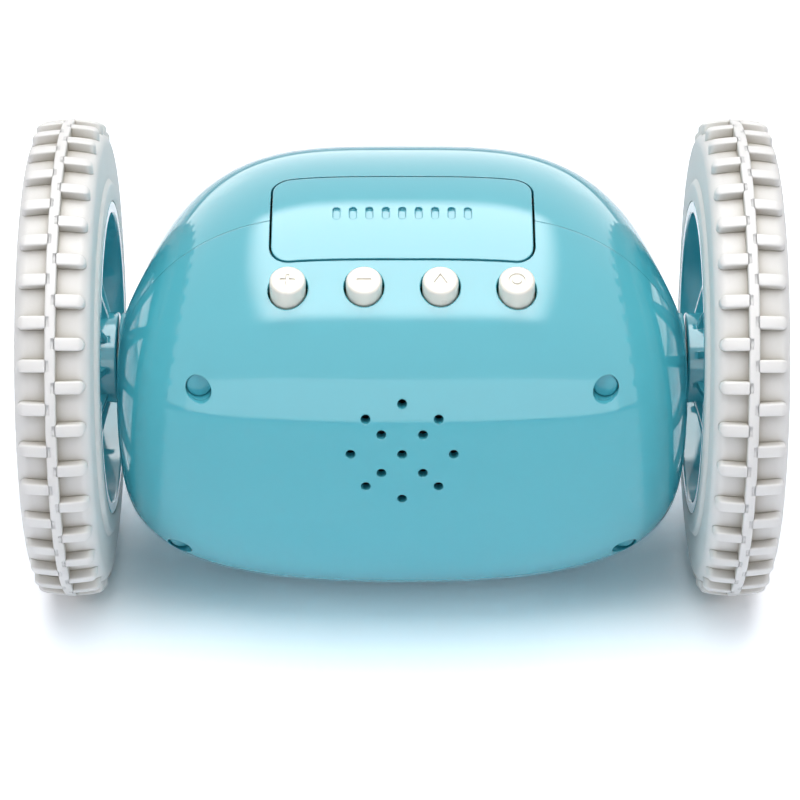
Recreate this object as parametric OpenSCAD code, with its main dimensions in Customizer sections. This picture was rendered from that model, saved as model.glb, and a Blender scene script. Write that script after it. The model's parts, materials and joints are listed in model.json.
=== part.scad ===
// Runaway alarm clock: a rounded body slung on an axle line between two large wheels.
// X runs along the axles, -Y is the rear with the snooze bar, +Z is up.
// The origin lies on the floor, midway between the wheels.

/* [Body] */
// Length of the body between its two flat end poles
body_len = 103.6; // [100:0.1:106]
// Radius about the axle line where the body is fullest, at its lower rear
full_r = 41.6; // [41:0.1:42.4]
// Radius about the axle line where the body is slimmest, at its upper front
slim_r = 39.1; // [38.6:0.1:40]
// Direction of the fullest side, in degrees up from the rear
full_dir = -54; // [-65:1:-45]
// Exponents of the end taper on the full side, along the axle and across it
full_taper = [2.4, 5.6];
// Exponents of the end taper on the slim side, along the axle and across it
slim_taper = [3.6, 1.46];
// Wall thickness of both shells
wall = 2.2; // [1.8:0.1:2.4]
// Distance of the parting plane behind the axle line
seam_y = 15.4; // [14.5:0.1:16]

/* [Wheels] */
// Diameter over the tread bars
wheel_d = 88; // [87:0.5:92]
// Width of a tyre
tyre_w = 13.3; // [12.5:0.1:15]
// Gap from the body's end to a tyre's inner face
tyre_stand = 2.4; // [2.2:0.1:4]
// Height of the tread bars over the tyre's crown
tread_h = 1.8; // [1:0.1:2.2]
// Number of tread bars on each side of the centre rib
tread_bars = 36; // [24:1:42]
// Width of a tread bar
bar_w = 2.3; // [1.6:0.1:2.8]
// Length of a tread bar, from the centre rib's middle
bar_len = 5.9; // [5:0.1:6.1]
// Width of the centre rib
rib_w = 1.9; // [1.2:0.1:2.6]
// Diameter of the hub's rim, which carries the tyre
rim_d = 58; // [54:0.5:60]
// Wall thickness of the hub's rim
rim_wall = 2.2; // [1.6:0.1:2.6]
// Diameter of the hub's collar and of the body's end boss
collar_d = 16.7; // [15:0.1:18]
// Running gap between the body's end boss and the hub's collar
wheel_gap = 0.5; // [0.3:0.1:0.9]
// Number of spokes in a hub
spokes = 9; // [8:1:10]
// Width of a spoke
spoke_w = 3; // [2.4:0.1:3.4]
// Thickness of the rib that stands on the inner side of a spoke
spoke_rib_t = 1.2; // [1:0.1:1.6]

/* [Drive] */
// Diameter of an axle
axle_d = 3; // [2.5:0.1:3.4]
// Diameter of an idler gear's steel pin
pin_d = 1.5; // [1.2:0.1:1.8]
// Diameter of a motor
motor_d = 12; // [11:0.1:12.6]
// Length of a motor's case
motor_len = 15; // [13:0.1:15.4]
// Gear module
gear_m = 0.5; // [0.48:0.01:0.51]
// Teeth of the motor pinion
pinion_z = 12; // [11:1:12]
// Teeth of the idler's large gear
idler_z = 36; // [34:1:36]
// Teeth of the idler's small gear
idler_small_z = 14; // [13:1:14]
// Teeth of the gear on the axle
axle_z = 42; // [40:1:42]
// Face width of the gears
gear_w = 3; // [2.4:0.1:3.2]
// Distance from the middle of the body to the inner gear plate
plate_x = 17.5; // [17:0.1:18]
// Thickness of a gear plate
plate_t = 1.5; // [1.2:0.1:1.6]
// Direction of a motor, in degrees up from the rear
motor_dir = 20; // [16:1:24]
// Distance of a motor from the axle line
motor_r = 15; // [14.6:0.1:15.4]

/* [Snooze bar and set buttons] */
// Direction in which the bar and the set buttons press, in degrees up from the rear
press_dir = 65; // [63:1:67]
// Length of the snooze bar
snooze_w = 46; // [44:0.5:47]
// Width of the snooze bar round the body
snooze_h = 20; // [19:0.5:20.5]
// Corner radius of the snooze bar
snooze_r = 3.2; // [2:0.1:4]
// Gap round the snooze bar
snooze_gap = 0.4; // [0.3:0.05:0.6]
// Travel of the snooze bar
snooze_travel = 1.6; // [1:0.1:1.8]
// Diameter of a set button
button_d = 6.3; // [5.8:0.1:6.6]
// Gap round a set button
button_gap = 0.4; // [0.3:0.05:0.5]
// Spacing of the set buttons
button_pitch = 13.3; // [12.8:0.1:13.6]
// Height of a set button over the shell
button_proud = 2.1; // [1.6:0.1:2.4]
// Travel of a set button and of a front button
button_travel = 1; // [0.6:0.1:1.1]
// Height of the key board's top over the axle line, along the press direction
key_board_n = 27; // [26.6:0.1:27.2]

/* [Display and front buttons] */
// Direction of the display, in degrees up from the rear and over the top
display_dir = 165; // [163:1:167]
// Length of the display's lens
lens_w = 50; // [46:0.5:50]
// Height of the display's lens
lens_h = 25; // [23:0.5:25]
// Corner radius of the lens
lens_r = 6; // [3:0.5:8]
// Thickness of the lens
lens_t = 1.6; // [1.2:0.1:1.8]
// Direction of the two front buttons, in degrees up from the rear and over the top
eye_dir = 134; // [133:1:135]
// Diameter of a front button
eye_d = 9.4; // [9:0.1:9.8]
// Distance between the two front buttons
eye_pitch = 30; // [28:0.5:30]
// Height of a front button over the shell
eye_proud = 0.8; // [0.6:0.1:1.2]

/* [Power, sound and screws] */
// Direction of the battery bay, in degrees up from the rear
bay_dir = 250; // [249:1:251]
// Diameter of a battery cell
cell_d = 10.5; // [10.4:0.1:10.6]
// Length of a battery cell
cell_len = 44.5; // [44:0.1:44.8]
// Distance of the cells' row from the axle line
cell_n = 23.6; // [23.5:0.1:23.8]
// Length of the battery door
door_w = 49; // [46:0.5:50]
// Width of the battery door round the body
door_h = 41; // [39:0.5:41.5]
// Diameter of the speaker
speaker_d = 28; // [26:0.5:28.5]
// Height of the speaker over the axle line
speaker_z = 2; // [1:0.1:3]
// Diameter of a grille hole
grille_d = 1.7; // [1.3:0.1:2]
// Radius of the grille's outer ring of holes
grille_r = 9; // [8:0.1:10]
// Diameter of a screw recess in the rear shell
recess_d = 4.6; // [4.3:0.1:5]
// Thickness of the plug that hides a screw in its recess
plug_t = 1.2; // [0.8:0.1:1.6]
// Depth of a plug's face under the lowest point of its recess's rim
plug_inset = 0.35; // [0.2:0.05:0.8]
// Places of the two upper shell screws, from the body's ends and over the axle line
upper_screw = [16.2, 11.6];
// Places of the two lower shell screws, from the body's ends and over the axle line
lower_screw = [11.3, -25.7];

/* [Hidden] */
$fn = 64;

// Colours
aqua = "#7cc6d2";
ivory = "#e8e4d8";
tyre_white = "#dcdcdc";
circuit_green = "#2f6b4a";
steel = "#b8babd";
brass = "#c9a85a";
acetal = "#f0efe8";
dark = "#2b2d30";

// Clearances
run_fit = 0.05;      // radial, round a shaft or a pin that turns
slip = 0.25;         // round a piece that is set into an opening
touch = 0.3;         // between a moving piece and its stop
join = 0.05;         // overlap of two forms that make one solid
far = 60;            // longer than any cut through the body

// Places along the axle
axle_h = wheel_d / 2;
tray_wall = 1.2;
body_end = body_len / 2;
collar_x = body_end + wheel_gap;
tyre_x = body_end + tyre_stand;
tyre_end = tyre_x + tyre_w;
bead = 0.7;
rim_lip_x = tyre_x - bead;
web_x = tyre_x + 0.5 * tyre_w;
web_t = 2;
rim_r = rim_d / 2;
hub_face_x = tyre_end - 2.2;
crown_r = wheel_d / 2 - tread_h;
cap_r = collar_d / 2 + 0.6;
hub_end_x = web_x + web_t + 2.6;
axle_end_x = web_x + web_t;

// Places in the gear train
gear_x = plate_x + plate_t;
idler_x = gear_x + 0.7;
small_x = idler_x + gear_w;
small_w = gear_w + 1.1;
axle_gear_x = small_x + 0.6;
outer_plate_x = small_x + small_w + 0.5;
drive_end_x = outer_plate_x + plate_t;
first_mesh_r = gear_m * (pinion_z + idler_z) / 2;
second_mesh_r = gear_m * (idler_small_z + axle_z) / 2;
idler_dir = motor_dir + acos((second_mesh_r ^ 2 + motor_r ^ 2 - first_mesh_r ^ 2)
    / (2 * second_mesh_r * motor_r));
frame_foot_n = cell_n - cell_d / 2 - tray_wall;
pillar_r = 14.6;
pillar_dirs = [135, -20];
foot_t = 2.4;
foot_angle = 34;
foot_r = (frame_foot_n - tray_wall - 1) / cos(foot_angle);

pressure = 25;       // gear pressure angle
tip = 0.8;           // tooth height over the pitch circle, in modules
root = 1.25;         // tooth depth under the pitch circle, in modules
backlash = 0.12;     // along the pitch circle

// Tyre's section
dome_r = 24;
shoulder_r = 2.6;

// Heights along the press direction and round it
snooze_y = 1.6;
mark_depth = 0.7;
button_y = -13.7;
board_t = 1.6;
switch_h = 2.6;
plunger_h = 0.4;
switch_top = switch_h + plunger_h;
flange_t = 0.8;
flange_w = 0.8;
stop_gap = 0.05;
button_base = key_board_n + switch_top + button_travel + stop_gap;
post_d = 3;
post_x = snooze_w / 2 - 7;
button_n = skin_height(button_pitch, button_y, press_dir);

// Heights along the display's direction
main_board_n = 29;
lcd_gap = 2;
lcd_n = main_board_n + lcd_gap;
lcd_size = [42, 18, 2.6];
eye_board_n = 28;

// Battery bay
cell_pitch = cell_d + 0.3;
cells = 4;
bay_w = cell_len + 4;
bay_h = cells * cell_pitch;
door_corner = 4;
door_tab_d = 9;
door_tab_x = bay_w / 2 + tray_wall + touch + door_tab_d / 2 - 1;
door_screw_n = 36.6;
door_post_n = 34.6;

// Posts of the three circuit boards, from their middles
key_post_x = 28;
key_post_y = [2.6, 11];
main_post_x = 26.6;
main_post_y = [-6.5, 13.5];
eye_post_x = 24;

// Speaker, by its front's distance behind the axle line
speaker_n = 34.2;
speaker_t = 3;

// Screws
bush_d = 6;
screw_d = 2.2;
screw_head_d = 4;
screw_head_t = 1.5;
boss_d = 7.4;
board_screw_d = 1.8;
board_boss_d = 4;

function mix(a, b, share) = a + (b - a) * share;
function smooth(t) = t * t * (3 - 2 * t);

// How far the direction phi belongs to the full side, from 0 to 1.
function fullness(phi) = smooth((1 + cos(phi - full_dir)) / 2);

// Radius of the body's skin at x in the direction phi, drawn in by inset.
function skin_r(x, phi, inset) =
    let (share = fullness(phi),
        along = mix(slim_taper[0], full_taper[0], share),
        across = mix(slim_taper[1], full_taper[1], share),
        r = mix(slim_r, full_r, share) - inset,
        left = max(0, 1 - pow(abs(x) / (body_len / 2 - inset), along)))
    r * pow(left, 1 / across);

// Height of the skin over the local point x, y of the frame that faces the direction dir.
function skin_height(x, y, dir, guess = 36, steps = 4) =
    steps == 0 ? guess :
    skin_height(x, y, dir, sqrt(skin_r(x, dir + atan2(y, guess), 0) ^ 2 - y ^ 2), steps - 1);

// Point of the same skin at the station angle a, from -90 at one pole to 90 at the other.
function skin_point(a, phi, inset) =
    let (share = fullness(phi),
        along = mix(slim_taper[0], full_taper[0], share),
        across = mix(slim_taper[1], full_taper[1], share),
        r = (mix(slim_r, full_r, share) - inset) * pow(cos(a), 2 / across),
        x = sign(a) * (body_len / 2 - inset) * pow(abs(sin(a)), 2 / along))
    [x, -r * cos(phi), r * sin(phi)];

// Solid body inside the skin that is drawn in by inset, about the axle line.
module body_solid(inset, rings, sides) {
    rows = rings - 1;
    left_pole = rows * sides;
    points = [
        for (i = [1:rows], j = [0:sides - 1])
            skin_point(-90 + 180 * i / rings, 360 * j / sides, inset),
        [-body_len / 2 + inset, 0, 0],
        [body_len / 2 - inset, 0, 0]];
    bands = [
        for (i = [0:rows - 2], j = [0:sides - 1])
            let (k = (j + 1) % sides, a = i * sides + j, b = i * sides + k)
            each [[a, b + sides, a + sides], [a, b, b + sides]]];
    ends = [
        for (j = [0:sides - 1])
            let (k = (j + 1) % sides)
            each [[left_pole, k, j], [left_pole + 1, left_pole - sides + j, left_pole - sides + k]]];
    polyhedron(points, concat(bands, ends));
}

module outer_solid() body_solid(0, 36, 48);
module inner_solid() body_solid(wall, 24, 32);
module trim_solid() body_solid(wall / 2, 24, 32);

// Turns local Z to point out of the body in the direction phi, and local Y round it.
module facing(phi) translate([0, 0, axle_h]) rotate([90 - phi, 0, 0]) children();
module on_axle() translate([0, 0, axle_h]) children();

// Lays local Z along the axle, towards the side given as -1 or 1.
module along_axle(side) on_axle() rotate([0, 90 * side, 0]) children();

// Place of a point at a distance r from the axle line in the direction phi, in the local
// frame of along_axle, where local X points down on the right side and up on the left.
function round_axle(r, phi, side) = [-side * r * sin(phi), -r * cos(phi), 0];

module rounded_rect(w, h, r) {
    square([w - 2 * r, h], center = true);
    square([w, h - 2 * r], center = true);
    for (x = [-1, 1], y = [-1, 1])
        translate([x * (w / 2 - r), y * (h / 2 - r)]) circle(r);
}

module slab(w, h, r, z0, z1) translate([0, 0, z0]) linear_extrude(z1 - z0) rounded_rect(w, h, r);
module rod(d, z0, z1) translate([0, 0, z0]) cylinder(d = d, h = z1 - z0);
module tube(outer, inner, z0, z1) difference() {
    rod(outer, z0, z1);
    rod(inner, z0 - 1, z1 + 1);
}

// Screw with its thread up to z1 and its head below z0, along local Z.
module screw(d, head_d, head_t, z0, z1) {
    difference() {
        rod(head_d, z0 - head_t, z0);
        for (a = [0, 90]) rotate(a)
            translate([0, 0, z0 - head_t]) cube([head_d * 0.6, d * 0.3, head_t], center = true);
    }
    rod(d, z0, z1);
}

// Rear and front halves of space, parted at the seam.
module rear_space() on_axle() translate([-far, -far - seam_y, -far]) cube([2 * far, far, 2 * far]);
module front_space() on_axle() translate([-far, -seam_y, -far]) cube([2 * far, far + seam_y, 2 * far]);

// Lowest height of the skin round a screw recess, behind the axle line.
function rim_low(place) = min([for (a = [0:45:315])
    skin_height(place[0] + recess_d / 2 * cos(a), place[1] + recess_d / 2 * sin(a), 0)]);

// Puts children at each shell screw, with local Z to the rear and the recess floor at $floor.
module each_shell_screw() {
    for (screw = [upper_screw, lower_screw], side = [-1, 1])
        let (place = [body_end - screw[0], screw[1]])
        facing(0) translate([side * place[0], place[1], 0]) {
            $floor = rim_low(place) - plug_inset - plug_t - touch - screw_head_t;
            children();
        }
}

// Places of the posts that hold the circuit boards.
module at_key_posts() for (x = [-1, 1], y = key_post_y)
    facing(press_dir) translate([x * key_post_x, y, 0]) children();
module at_main_posts() for (x = [-1, 1], y = main_post_y)
    facing(display_dir) translate([x * main_post_x, y, 0]) children();
module at_eye_posts() for (x = [-1, 1])
    facing(eye_dir) translate([x * eye_post_x, 0, 0]) children();

module at_set_button(i) facing(press_dir) translate([(i - 1.5) * button_pitch, button_y, 0]) children();
module at_eye(side) facing(eye_dir) translate([side * eye_pitch / 2, 0, 0]) children();

module snooze_opening() facing(press_dir) translate([0, snooze_y, 0])
    slab(snooze_w + 2 * snooze_gap, snooze_h + 2 * snooze_gap, snooze_r + snooze_gap, 30, far);

module front_shell() color(aqua) {
    difference() {
        union() {
            intersection() {
                on_axle() difference() { outer_solid(); inner_solid(); }
                front_space();
            }
            intersection() {
                on_axle() trim_solid();
                union() {
                    each_shell_screw() rod(boss_d, -far, seam_y);
                    at_key_posts() rod(board_boss_d, key_board_n, far);
                    at_main_posts() rod(board_boss_d, main_board_n, far);
                    at_eye_posts() rod(board_boss_d, eye_board_n, far);
                }
            }
            for (side = [-1, 1]) along_axle(side) rod(collar_d, body_end - 9, body_end);
        }
        for (side = [-1, 1]) along_axle(side) rod(bush_d, 0, far);
        each_shell_screw() rod(screw_d, seam_y - 12, far);
        at_key_posts() rod(board_screw_d, 0, key_board_n + 6);
        at_main_posts() rod(board_screw_d, 0, main_board_n + 2.6);
        at_eye_posts() rod(board_screw_d, 0, eye_board_n + 4);
        snooze_opening();
        facing(display_dir)
            slab(lens_w + 2 * slip, lens_h + 2 * slip, lens_r + slip, 26, far);
        for (side = [-1, 1]) at_eye(side) rod(eye_d + 2 * button_gap, 30, far);
        facing(bay_dir) door_outline(slip);
    }
}

module rear_shell() color(aqua) {
    difference() {
        union() {
            intersection() {
                on_axle() difference() { outer_solid(); inner_solid(); }
                rear_space();
            }
            intersection() {
                on_axle() trim_solid();
                union() {
                    each_shell_screw() rod(boss_d, seam_y, far);
                    facing(0) translate([0, speaker_z, 0])
                        tube(speaker_d + 2 * slip + 2.4, speaker_d + 2 * slip, 30, far);
                }
            }
        }
        each_shell_screw() {
            rod(screw_d + 0.4, seam_y - 1, far);
            rod(recess_d, $floor, far);
        }
        snooze_opening();
        for (i = [0:3]) at_set_button(i) rod(button_d + 2 * button_gap, 28, far);
        facing(0) translate([0, speaker_z, 0]) grille_holes();
    }
}

// One hole in the middle, four round it on the diagonals and eight in the outer ring.
module grille_holes() {
    rod(grille_d, 30, far);
    for (i = [0:3]) rotate(45 + 90 * i) translate([grille_r * 0.57, 0]) rod(grille_d, 30, far);
    for (i = [0:7]) rotate(45 * i) translate([grille_r, 0]) rod(grille_d, 30, far);
}

// Flat plugs over the screws, a little below the skin.
module screw_plugs() color(aqua) each_shell_screw()
    rod(recess_d - touch, $floor + screw_head_t + touch, $floor + screw_head_t + touch + plug_t);

module shell_screws() color(steel)
    each_shell_screw() mirror([0, 0, 1])
        screw(screw_d, screw_head_d, screw_head_t, -$floor, -seam_y + 10);

// Press-on parts of the top.
module snooze_bar() color(aqua) {
    difference() {
        intersection() {
            on_axle() difference() { outer_solid(); body_solid(wall + 0.6, 24, 32); }
            facing(press_dir) translate([0, snooze_y, 0]) slab(snooze_w, snooze_h, snooze_r, 28, far);
        }
        facing(press_dir) translate([0, snooze_y, 0]) grip_marks();
    }
    facing(press_dir) translate([0, snooze_y, 0]) {
        for (x = [-post_x, post_x]) translate([x, 0, 0]) rod(post_d, key_board_n + 2.6, 37);
        rod(4, key_board_n + switch_top + snooze_travel + stop_gap, 37.2);
        for (side = [-1, 1]) translate([side * (snooze_w / 2 + 0.2), 0, 34])
            cube([3.4, 6, 1.2], center = true);
        for (side = [-1, 1]) translate([side * (snooze_w / 2 - 1.4), 0, 35.4])
            cube([1.2, 6, 2.6], center = true);
    }
}

// Row of shallow pill-shaped hollows along the middle of the bar.
module grip_marks() for (i = [-4:4]) translate([i * 2.9, 0, 0])
    translate([0, 0, skin_height(0, snooze_y, press_dir) - mark_depth])
        linear_extrude(far) rounded_rect(1.3, 2.9, 0.6);

module snooze_springs() color(steel) facing(press_dir) translate([0, snooze_y, 0])
    for (x = [-post_x, post_x]) translate([x, 0, 0])
        tube(post_d + 1.6, post_d + 0.6, key_board_n, key_board_n + 5.6);

// Round cap with a chamfered edge, as one turned outline.
module cap(d, chamfer, z0, z1) rotate_extrude() polygon([
    [0, z0], [d / 2, z0], [d / 2, z1 - chamfer], [d / 2 - chamfer, z1], [0, z1]]);

module set_button(i) color(ivory) at_set_button(i) {
    difference() {
        union() {
            cap(button_d, 0.45, button_base, button_n + button_proud);
            rod(button_d + 2 * flange_w, button_base, button_base + flange_t);
        }
        translate([0, 0, button_n + button_proud - 0.35]) linear_extrude(1) children();
    }
}

module plus_button() set_button(0) {
    square([2.6, 0.6], center = true);
    square([0.6, 2.6], center = true);
}
module minus_button() set_button(1) square([2.6, 0.6], center = true);
module alarm_button() set_button(2) circle(d = 2.8, $fn = 3);
module clock_button() set_button(3) difference() {
    circle(d = 2.8);
    circle(d = 1.7);
}

module eye_button(side) color(ivory) at_eye(side) {
    top = skin_height(eye_pitch / 2, 0, eye_dir) + eye_proud;
    bottom = eye_board_n + switch_top + button_travel + stop_gap;
    cap(eye_d, 0.8, bottom + 0.2, top);
    rod(eye_d + 2, bottom + 0.2, bottom + 0.2 + flange_t);
    rod(4, bottom, bottom + 1);
}
module left_front_button() eye_button(-1);
module right_front_button() eye_button(1);

// Tactile switch with its plunger, standing on z0.
module tact_switch(z0) {
    translate([-2.5, -2.5, z0]) cube([5, 5, switch_h]);
    rod(2.2, z0 + switch_h, z0 + switch_top);
}

module key_board() color(circuit_green) difference() {
    facing(press_dir) translate([-31, -17.2, key_board_n - board_t]) cube([62, 31, board_t]);
    at_key_posts() rod(board_screw_d + 0.4, 20, 40);
}
module key_switches() color(dark) {
    for (i = [0:3]) at_set_button(i) tact_switch(key_board_n);
    facing(press_dir) translate([0, snooze_y, 0]) tact_switch(key_board_n);
}
module front_key_board() color(circuit_green) difference() {
    facing(eye_dir) translate([-26.5, -4.5, eye_board_n - board_t]) cube([53, 9, board_t]);
    at_eye_posts() rod(board_screw_d + 0.4, 20, 40);
}
module front_switches() color(dark) for (side = [-1, 1]) at_eye(side) tact_switch(eye_board_n);

module board_screws() color(steel) {
    at_key_posts() screw(board_screw_d, 3.4, 1, key_board_n - board_t, key_board_n + 5.5);
    at_main_posts() screw(board_screw_d, 3.4, 1, main_board_n - board_t, main_board_n + 2.4);
    at_eye_posts() screw(board_screw_d, 3.4, 1, eye_board_n - board_t, eye_board_n + 3.8);
}

// Display
module display_lens() color(dark) intersection() {
    on_axle() difference() { outer_solid(); body_solid(lens_t, 24, 32); }
    facing(display_dir) slab(lens_w, lens_h, lens_r, 26, far);
}
module display_bezel() color(ivory) difference() {
    intersection() {
        on_axle() body_solid(lens_t + 0.3, 24, 32);
        facing(display_dir) slab(lens_w - 0.4, lens_h - 0.4, lens_r, lcd_n + lcd_size[2], far);
    }
    facing(display_dir) slab(lcd_size[0] - 3, lcd_size[1] - 3, 2, 26, far);
}
module lcd_module() color("#8f9a86") facing(display_dir)
    translate([-lcd_size[0] / 2, -lcd_size[1] / 2, lcd_n]) cube(lcd_size);
module lcd_contact_strips() color("#c97fa0") facing(display_dir)
    for (y = [-1, 1]) translate([-lcd_size[0] / 2, y * (lcd_size[1] / 2 - 1) - 1, main_board_n])
        cube([lcd_size[0], 2, lcd_gap]);
module main_board() color(circuit_green) difference() {
    facing(display_dir) translate([-29.4, -9.5, main_board_n - board_t]) cube([58.8, 26, board_t]);
    at_main_posts() rod(board_screw_d + 0.4, 20, 40);
}

module speaker() color(dark) facing(0) translate([0, speaker_z, speaker_n]) {
    difference() {
        rod(speaker_d, -speaker_t, 0);
        translate([0, 0, 1 - speaker_t]) cylinder(d1 = 8, d2 = speaker_d - 4, h = speaker_t - 0.9);
    }
    rod(speaker_d / 2, -speaker_t - 3.5, -speaker_t + join);
}

// Batteries
module at_cells() for (i = [0:cells - 1])
    facing(bay_dir) translate([0, (i - (cells - 1) / 2) * cell_pitch, cell_n])
        rotate([0, i % 2 == 0 ? 90 : -90, 0]) children();

module battery_cells() color(steel) at_cells() {
    rod(cell_d, -cell_len / 2, cell_len / 2 - 0.9);
    rod(3.8, cell_len / 2 - 0.9, cell_len / 2);
}
module battery_contacts() color(brass) facing(bay_dir)
    for (side = [-1, 1], y = [-1, 1])
        translate([side * (bay_w / 2 - 0.25), y * cell_pitch, cell_n]) {
            cube([0.5, 2 * cell_pitch - 1.4, 8], center = true);
            translate([-side * 0.9, -side * cell_pitch / 2, 0]) rotate([0, 90, 0])
                cylinder(d1 = 6, d2 = 6, h = 1.4, center = true);
        }

module battery_tray() color(aqua) difference() {
    union() {
        intersection() {
            on_axle() body_solid(wall + touch, 24, 32);
            facing(bay_dir) difference() {
                slab(bay_w + 2 * tray_wall, bay_h + 2 * tray_wall, 1, frame_foot_n, far);
                slab(bay_w, bay_h, 0.5, frame_foot_n + tray_wall, far);
            }
        }
        facing(bay_dir) for (side = [-1, 1]) translate([side * (plate_x + 7.2), 0, 0])
            slab(14.4, 27, 1, frame_foot_n - tray_wall, frame_foot_n + 0.1);
        facing(bay_dir) translate([door_tab_x, 0, 0])
            rod(boss_d - 1.6, frame_foot_n - tray_wall, door_post_n);
    }
    facing(bay_dir) translate([door_tab_x, 0, 0]) rod(door_tab_d - 2 + 2 * touch, door_post_n, far);
    at_frame_screws() rod(1.4, frame_foot_n - 3, frame_foot_n + tray_wall + 0.1);
    facing(bay_dir) translate([door_tab_x, 0, 0]) rod(screw_d, door_post_n - 7, far);
}

// Outline of the battery door with its screw tab, grown by gap.
module door_outline(gap) {
    slab(door_w + 2 * gap, door_h + 2 * gap, door_corner, 20, far);
    translate([door_tab_x, 0, 0]) rod(door_tab_d + 2 * gap, 20, far);
    translate([door_tab_x / 2, 0, 0]) slab(door_tab_x, door_tab_d + 2 * gap, 1, 20, far);
}

module battery_door() color(aqua) difference() {
    union() {
        intersection() {
            on_axle() difference() { outer_solid(); inner_solid(); }
            facing(bay_dir) door_outline(0);
        }
        facing(bay_dir) translate([door_tab_x, 0, 0])
            rod(door_tab_d - 2, door_post_n + touch, door_screw_n + 1);
    }
    facing(bay_dir) translate([door_tab_x, 0, 0]) {
        rod(screw_d + 0.4, 20, far);
        rod(screw_head_d + 0.6, door_screw_n, far);
    }
}

module battery_door_screw() color(steel)
    facing(bay_dir) translate([door_tab_x, 0, 0]) mirror([0, 0, 1])
        screw(screw_d, screw_head_d, screw_head_t, -door_screw_n, -door_post_n + 6);

// Gear train. Each gear's first tooth points along local X turned by its phase.
function involute(base, r) = let (t = sqrt(max(0, (r / base) ^ 2 - 1))) t * 180 / PI - atan(t);

module gear_outline(z, bore_d) {
    r = gear_m * z / 2;
    base = r * cos(pressure);
    tip_r = r + tip * gear_m;
    root_r = r - root * gear_m;
    half = 90 / z - backlash / 2 / r * 180 / PI + involute(base, r);
    low = max(base, root_r + 0.05);
    flank = [for (i = [0:4]) let (q = low + (tip_r - low) * i / 4) [q, half - involute(base, q)]];
    difference() {
        polygon([
            for (k = [0:z - 1]) let (a = 360 * k / z) each [
                root_r * [cos(a - 180 / z), sin(a - 180 / z)],
                root_r * [cos(a - flank[0][1] - 1), sin(a - flank[0][1] - 1)],
                for (p = flank) p[0] * [cos(a - p[1]), sin(a - p[1])],
                for (i = [4:-1:0]) flank[i][0] * [cos(a + flank[i][1]), sin(a + flank[i][1])],
                root_r * [cos(a + flank[0][1] + 1), sin(a + flank[0][1] + 1)]]]);
        circle(d = bore_d);
    }
}
module gear(z, bore_d, z0, width) translate([0, 0, z0]) linear_extrude(width) gear_outline(z, bore_d);

// Local angle of the direction phi in the frame of along_axle.
function local_angle(phi, side) = atan2(-cos(phi), -side * sin(phi));

// Direction from the idler to the motor.
function idler_place(side) = round_axle(second_mesh_r, idler_dir, side);
function motor_place(side) = round_axle(motor_r, motor_dir, side);
function from_idler(side) = motor_place(side) - idler_place(side);

module motor(side) color(steel) along_axle(side) translate(motor_place(side)) {
    difference() {
        rod(motor_d, plate_x - motor_len, plate_x);
        rod(pin_d + 2 * run_fit, plate_x - motor_len + 4, plate_x + 1);
    }
}
module motor_pinion(side) color(brass) along_axle(side) translate(motor_place(side)) {
    rod(pin_d, plate_x - 6, idler_x + gear_w + 0.4);
    rotate(atan2(-from_idler(side)[1], -from_idler(side)[0]) + 180 / pinion_z)
        gear(pinion_z, pin_d - 0.1, idler_x - 0.2, gear_w + 0.4);
}
module idler_gear(side) color(acetal) along_axle(side) translate(idler_place(side)) {
    rotate(atan2(from_idler(side)[1], from_idler(side)[0]))
        gear(idler_z, pin_d + 2 * run_fit, idler_x, gear_w);
    rotate(local_angle(idler_dir, side) + 180)
        gear(idler_small_z, pin_d + 2 * run_fit, small_x - join, small_w + join);
}
module idler_pin(side) color(steel) along_axle(side) translate(idler_place(side))
    rod(pin_d, plate_x + 0.2, drive_end_x - 0.2);
module axle_gear(side) color(acetal) along_axle(side)
    rotate(local_angle(idler_dir, side) + 180 / axle_z) {
        gear(axle_z, axle_d, axle_gear_x, gear_w + 0.3);
    }

// Places of the screws through a gear frame's feet, along the bay's direction.
module at_frame_screws() for (side = [-1, 1], y = [-1, 1])
    facing(bay_dir) translate([side * (gear_x + outer_plate_x) / 2, y * 10.6, 0]) children();

module gear_frame(side) color(acetal) difference() {
    union() {
        for (x = [plate_x, outer_plate_x]) along_axle(side) translate([0, 0, x])
            linear_extrude(plate_t) hull() {
                circle(5);
                translate(idler_place(side)) circle(3.6);
                translate(motor_place(side)) circle(6);
                for (phi = pillar_dirs) translate(round_axle(pillar_r, phi, side)) circle(2.2);
                for (y = [-1, 1]) translate(round_axle(foot_r, bay_dir + y * foot_angle, side)) circle(1);
            }
        for (phi = pillar_dirs) along_axle(side) translate(round_axle(pillar_r, phi, side))
            rod(3.4, plate_x + 0.5, drive_end_x - 0.5);
        facing(bay_dir) translate([side * (plate_x + drive_end_x) / 2, 0, 0]) slab(
            drive_end_x - plate_x, 26, 0.5, frame_foot_n - tray_wall - foot_t, frame_foot_n - tray_wall);
    }
    along_axle(side) rod(axle_d + 2 * run_fit, plate_x - 1, far);
    along_axle(side) translate(idler_place(side)) rod(pin_d, plate_x - 1, far);
    along_axle(side) translate(motor_place(side)) rod(pin_d + 1.5, plate_x - 1, far);
    at_frame_screws() rod(1.8, 10, 40);
    along_axle(side) rod(2 * (gear_m * axle_z / 2 + 1.2), gear_x, outer_plate_x);
}
module gear_frame_screws() color(steel)
    at_frame_screws()
        screw(1.4, 3, 0.9, frame_foot_n - tray_wall - foot_t, frame_foot_n + tray_wall);

// Wheels
module axle_bush(side) color(brass) along_axle(side)
    tube(bush_d, axle_d + 2 * run_fit, body_end - 8, body_end);
module axle(side) color(steel) along_axle(side) difference() {
    rod(axle_d, plate_x - 0.6, axle_end_x);
    rod(1.4, axle_end_x - 6, axle_end_x + 1);
}

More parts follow.
